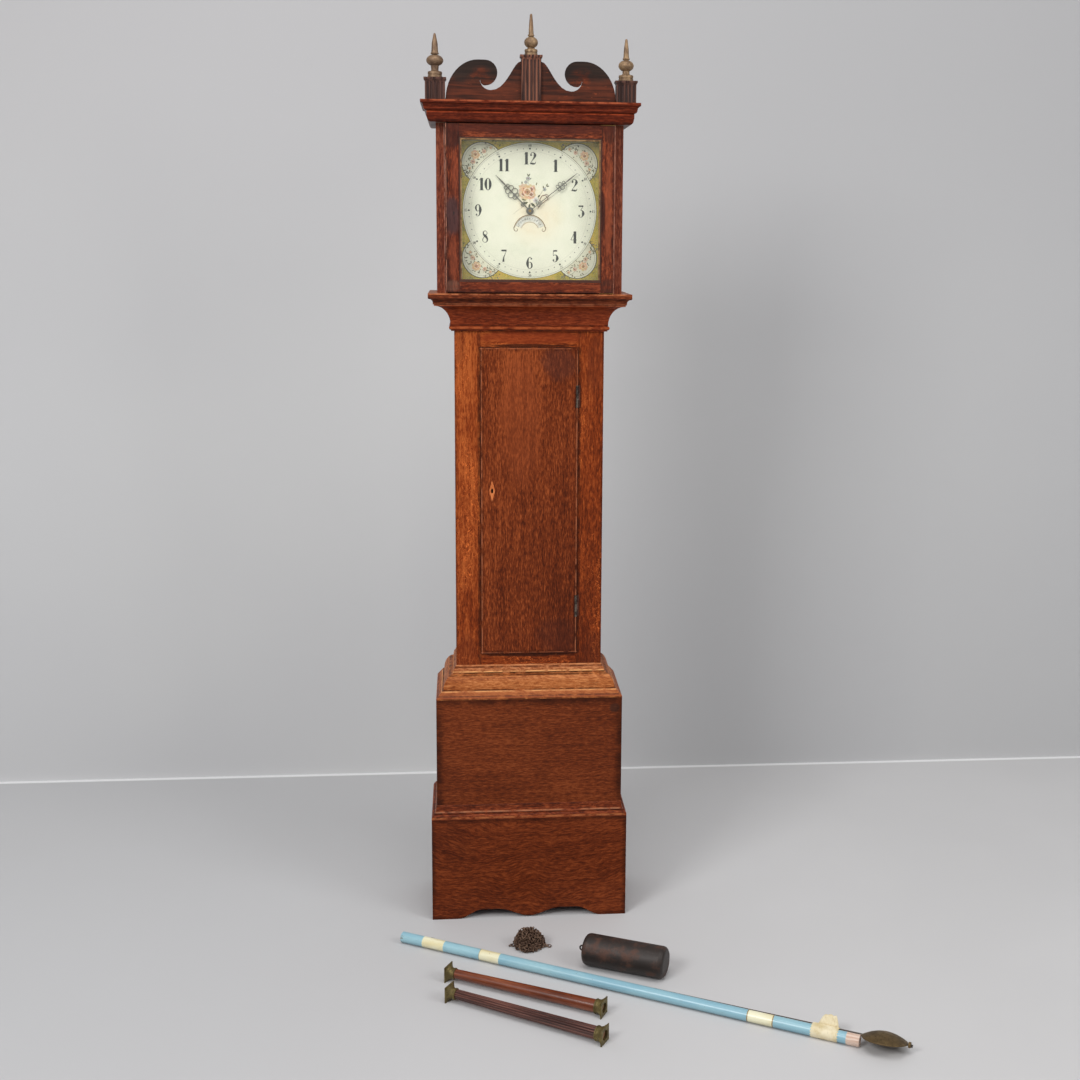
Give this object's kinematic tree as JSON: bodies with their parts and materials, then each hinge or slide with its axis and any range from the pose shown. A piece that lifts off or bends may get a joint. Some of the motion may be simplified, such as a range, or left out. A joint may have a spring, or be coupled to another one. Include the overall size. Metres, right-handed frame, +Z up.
{
  "type": "longcase clock",
  "caption": "Tall oak floor clock with a square painted dial, scrolled pediment, trunk door, thirty hour movement and its loose pendulum, weight, chain and hood columns.",
  "frame": {"origin": "on the floor at the middle of the backboard's foot, in the plane of the back", "axes": "+Z up, +Y towards the wall behind the clock, -Y is the front, +X to the right as the clock is faced"},
  "size_m": [1.069, 0.9113, 2.1418],
  "materials": {
    "oak_front": "waxed oak, deep red brown, dark in the corners",
    "oak_trunk": "waxed oak, lighter red brown with pale flecks",
    "oak_dark": "old dark stain, worn on the edges",
    "bare_oak": "unpolished inner boards",
    "smooth_shaft": "red brown stained turning",
    "reeded_shaft": "dark stained reeded turning",
    "iron": "dark iron, brown with age",
    "steel": "polished steel gone grey",
    "brass": "old lacquered brass",
    "dark_brass": "brown tarnished brass",
    "gilt": "worn gilt",
    "dial_paint": "cream enamel paint with flower sprays",
    "clear_glass": "thin old glass",
    "pole_paint": "pale blue paint"
  },
  "bodies": {
    "case": {"plinth_front": "oak_front", "lower_side_boards": "oak_front", "plinth_moulding": "oak_front", "base_front": "oak_front", "base_moulding": "oak_trunk", "backboard": "bare_oak", "trunk_sides": "oak_trunk", "trunk_frame": "oak_trunk", "trunk_foot_moulding": "oak_trunk", "throat_moulding": "oak_trunk", "seatboard": "bare_oak", "case_hinge_leaves": "iron", "dial_plate": "dial_paint", "movement_pillars": "brass", "front_plate": "brass", "back_plate": "brass", "back_cock_and_bell_stand": "brass", "bell": "dark_brass"},
    "trunk_door": {"trunk_door": "oak_trunk", "door_hinge_leaves": "iron", "lock_case": "iron"},
    "lock_bolt": {"lock_bolt": "brass"},
    "hood": {"hood_base_frame": "oak_front", "hood_sides": "oak_front", "hood_front_stiles": "oak_front", "hood_mask": "oak_dark", "hood_top_board": "bare_oak", "cornice": "oak_front", "pediment": "oak_dark", "finial_blocks": "oak_dark", "finials": "gilt"},
    "hood_door": {"hood_door_frame": "oak_front", "glass_slip": "gilt", "door_glass": "clear_glass", "hood_door_pivots": "brass"},
    "great_wheel": {"great_wheel": "brass"},
    "second_wheel": {"second_wheel": "brass"},
    "escape_wheel": {"escape_wheel": "brass"},
    "pallets": {"pallets": "steel"},
    "cannon": {"cannon_wheel": "brass", "minute_hand": "iron"},
    "minute_wheel": {"minute_wheel": "brass"},
    "hour_wheel": {"hour_wheel": "brass", "hour_hand": "iron"},
    "calendar_disc": {"calendar_disc": "dial_paint"},
    "strike_great_wheel": {"strike_great_wheel": "brass"},
    "hoop_wheel": {"hoop_wheel": "brass"},
    "fly": {"fly": "brass"},
    "count_wheel": {"count_wheel": "brass"},
    "hammer": {"hammer": "steel"},
    "chain_heap": {"chain_heap": "dark_brass"},
    "weight": {"weight": "iron"},
    "smooth_column": {"column_smooth": "smooth_shaft", "column_smooth_caps": "dark_brass"},
    "reeded_column": {"column_reeded": "reeded_shaft", "column_reeded_caps": "dark_brass"},
    "pendulum_on_pole": {"pole": "pole_paint", "pendulum_rod": "iron", "pendulum_bob": "dark_brass"},
    "rating_nut": {"rating_nut": "brass"}
  },
  "joints": [
    {"name": "trunk_door_hinge", "type": "hinge", "parent": "case", "child": "trunk_door", "pos_m": [0.113, -0.1684, 1], "axis": [0, 0, 1], "range_deg": [0, 100]},
    {"name": "lock_bolt_throw", "type": "slide", "parent": "trunk_door", "child": "lock_bolt", "axis": [-1, 0, 0], "range_m": [0, 0.009]},
    {"name": "hood_slide", "type": "slide", "parent": "case", "child": "hood", "axis": [0, -1, 0], "range_m": [0, 0.3]},
    {"name": "hood_door_hinge", "type": "hinge", "parent": "hood", "child": "hood_door", "pos_m": [0.1895, -0.201, 1.7], "axis": [0, 0, 1], "range_deg": [0, 95]},
    {"name": "second_wheel_spin", "type": "hinge", "parent": "case", "child": "second_wheel", "pos_m": [0.02202, -0.082, 1.71218], "axis": [0, 1, 0], "continuous": true},
    {"name": "great_wheel_spin", "type": "hinge", "parent": "case", "child": "great_wheel", "pos_m": [0.03, -0.111, 1.674], "axis": [0, 1, 0], "continuous": true},
    {"name": "escape_wheel_spin", "type": "hinge", "parent": "case", "child": "escape_wheel", "pos_m": [0.00204, -0.07, 1.73918], "axis": [0, 1, 0], "continuous": true},
    {"name": "minute_hand_spin", "type": "hinge", "parent": "case", "child": "cannon", "pos_m": [0, -0.15, 1.711], "axis": [0, 1, 0], "continuous": true},
    {"name": "minute_wheel_spin", "type": "hinge", "parent": "case", "child": "minute_wheel", "pos_m": [-0.032, -0.137, 1.732], "axis": [0, 1, 0], "continuous": true},
    {"name": "hour_hand_spin", "type": "hinge", "parent": "case", "child": "hour_wheel", "pos_m": [0, -0.145, 1.711], "axis": [0, 1, 0], "continuous": true},
    {"name": "hoop_wheel_spin", "type": "hinge", "parent": "case", "child": "hoop_wheel", "pos_m": [-0.03801, -0.11, 1.71523], "axis": [0, 1, 0], "continuous": true},
    {"name": "strike_great_wheel_spin", "type": "hinge", "parent": "case", "child": "strike_great_wheel", "pos_m": [-0.03, -0.073, 1.674], "axis": [0, 1, 0], "continuous": true},
    {"name": "fly_spin", "type": "hinge", "parent": "case", "child": "fly", "pos_m": [-0.02603, -0.09, 1.73875], "axis": [0, 1, 0], "continuous": true},
    {"name": "count_wheel_spin", "type": "hinge", "parent": "case", "child": "count_wheel", "pos_m": [-0.0462, -0.06, 1.6933], "axis": [0, 1, 0], "continuous": true},
    {"name": "pallet_swing", "type": "hinge", "parent": "case", "child": "pallets", "pos_m": [0.00204, -0.07, 1.76464], "axis": [0, 1, 0], "range_deg": [-2, 2]},
    {"name": "hammer_lift", "type": "hinge", "parent": "case", "child": "hammer", "pos_m": [-0.066, -0.093, 1.702], "axis": [0, 1, 0], "range_deg": [-14, 0], "stiffness_Nm_per_rad": 0.03, "springref_deg": 5.73},
    {"name": "calendar_spin", "type": "hinge", "parent": "case", "child": "calendar_disc", "pos_m": [0, -0.164, 1.665], "axis": [0, 1, 0], "continuous": true},
    {"name": "chain_lift", "type": "slide", "parent": "case", "child": "chain_heap", "axis": [0, 0, 1], "range_m": [0, 0.15]},
    {"name": "weight_lift", "type": "slide", "parent": "case", "child": "weight", "axis": [0, 0, 1], "range_m": [0, 0.15]},
    {"name": "smooth_column_lift", "type": "slide", "parent": "case", "child": "smooth_column", "axis": [0, 0, 1], "range_m": [0, 0.15]},
    {"name": "reeded_column_lift", "type": "slide", "parent": "case", "child": "reeded_column", "axis": [0, 0, 1], "range_m": [0, 0.15]},
    {"name": "pendulum_lift", "type": "slide", "parent": "case", "child": "pendulum_on_pole", "axis": [0, 0, 1], "range_m": [0, 0.15]},
    {"name": "rating_nut_turn", "type": "hinge", "parent": "pendulum_on_pole", "child": "rating_nut", "pos_m": [0.75189, -0.89026, 0.02125], "axis": [0.8734, -0.4868, 0.0132], "continuous": true}
  ],
  "couplings": [
    {"joint": "great_wheel_spin", "follows": "second_wheel_spin", "ratio": -0.083333},
    {"joint": "escape_wheel_spin", "follows": "second_wheel_spin", "ratio": -13},
    {"joint": "minute_hand_spin", "follows": "second_wheel_spin", "ratio": 0.21667},
    {"joint": "minute_wheel_spin", "follows": "second_wheel_spin", "ratio": -0.21667},
    {"joint": "hour_hand_spin", "follows": "second_wheel_spin", "ratio": 0.018056},
    {"joint": "strike_great_wheel_spin", "follows": "hoop_wheel_spin", "ratio": -0.076923},
    {"joint": "fly_spin", "follows": "hoop_wheel_spin", "ratio": -10},
    {"joint": "count_wheel_spin", "follows": "hoop_wheel_spin", "ratio": 0.012821}
  ]
}
